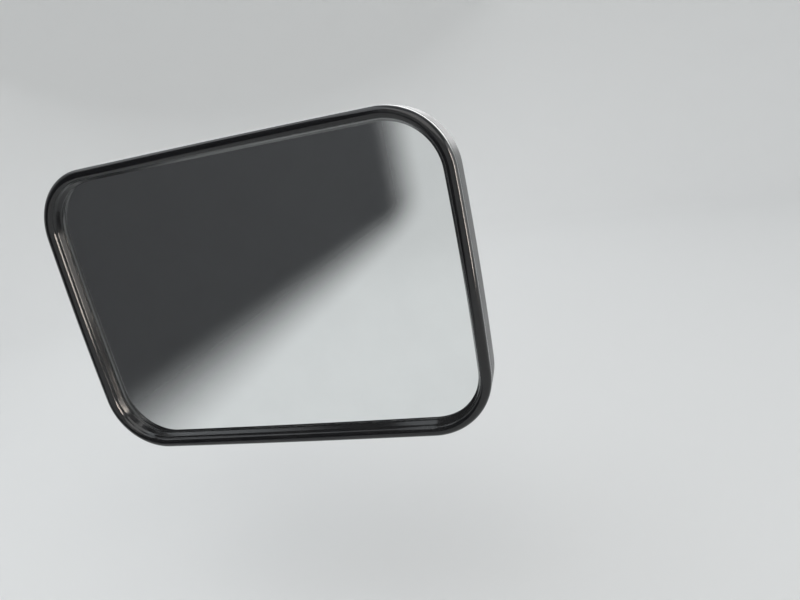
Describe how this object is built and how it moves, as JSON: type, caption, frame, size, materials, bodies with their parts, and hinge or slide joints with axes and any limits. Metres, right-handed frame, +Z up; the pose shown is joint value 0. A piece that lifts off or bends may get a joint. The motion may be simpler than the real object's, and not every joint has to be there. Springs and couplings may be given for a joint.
{
  "type": "side mirror",
  "caption": "Rectangular side mirror in a rounded black rim and housing, on a ball joint and a folding arm that clamps round a roll cage tube.",
  "frame": {"origin": "centre of the clamp's bore, on the axis of the roll cage tube", "axes": "+Z up the tube, +X outboard along the arm to the head, -Y rearward, the way the glass faces"},
  "size_m": [0.3521, 0.1679, 0.186],
  "materials": {
    "coated_metal": "fine black powder coat",
    "liner": "matt",
    "zinc": "zinc plated",
    "dark_screws": "black oxide",
    "bright_steel": "turned",
    "nylon": "natural nylon",
    "housing": "fine moulded grain",
    "gloss_rim": "polished",
    "mirror_face": "silvered glass"
  },
  "bodies": {
    "clamp": {"clamp_saddle": "coated_metal", "clamp_cap": "coated_metal", "clamp_liner": "liner", "clamp_screws": "zinc", "clamp_nuts": "zinc", "fold_bolt": "zinc", "fold_nut": "zinc", "fold_washers": "zinc", "slip_washers": "nylon"},
    "arm": {"arm": "coated_metal", "ball_stud": "bright_steel", "stud_nut": "zinc"},
    "ring": {"friction_ring": "nylon"},
    "head": {"housing_shell": "housing", "rim": "gloss_rim", "mirror_glass": "mirror_face", "socket_cap": "coated_metal", "socket_screws": "dark_screws"}
  },
  "joints": [
    {"name": "arm_fold", "type": "hinge", "parent": "clamp", "child": "arm", "pos_m": [0.04775, 0, 0], "axis": [0, 0, 1], "range_deg": [-35, 75]},
    {"name": "head_pan", "type": "hinge", "parent": "arm", "child": "ring", "pos_m": [0.18975, -0.0765, 0], "axis": [0, 0, 1], "range_deg": [-20, 20]},
    {"name": "head_tilt", "type": "hinge", "parent": "ring", "child": "head", "pos_m": [0.18975, -0.0765, 0], "axis": [1, 0, 0], "range_deg": [-20, 20]}
  ]
}
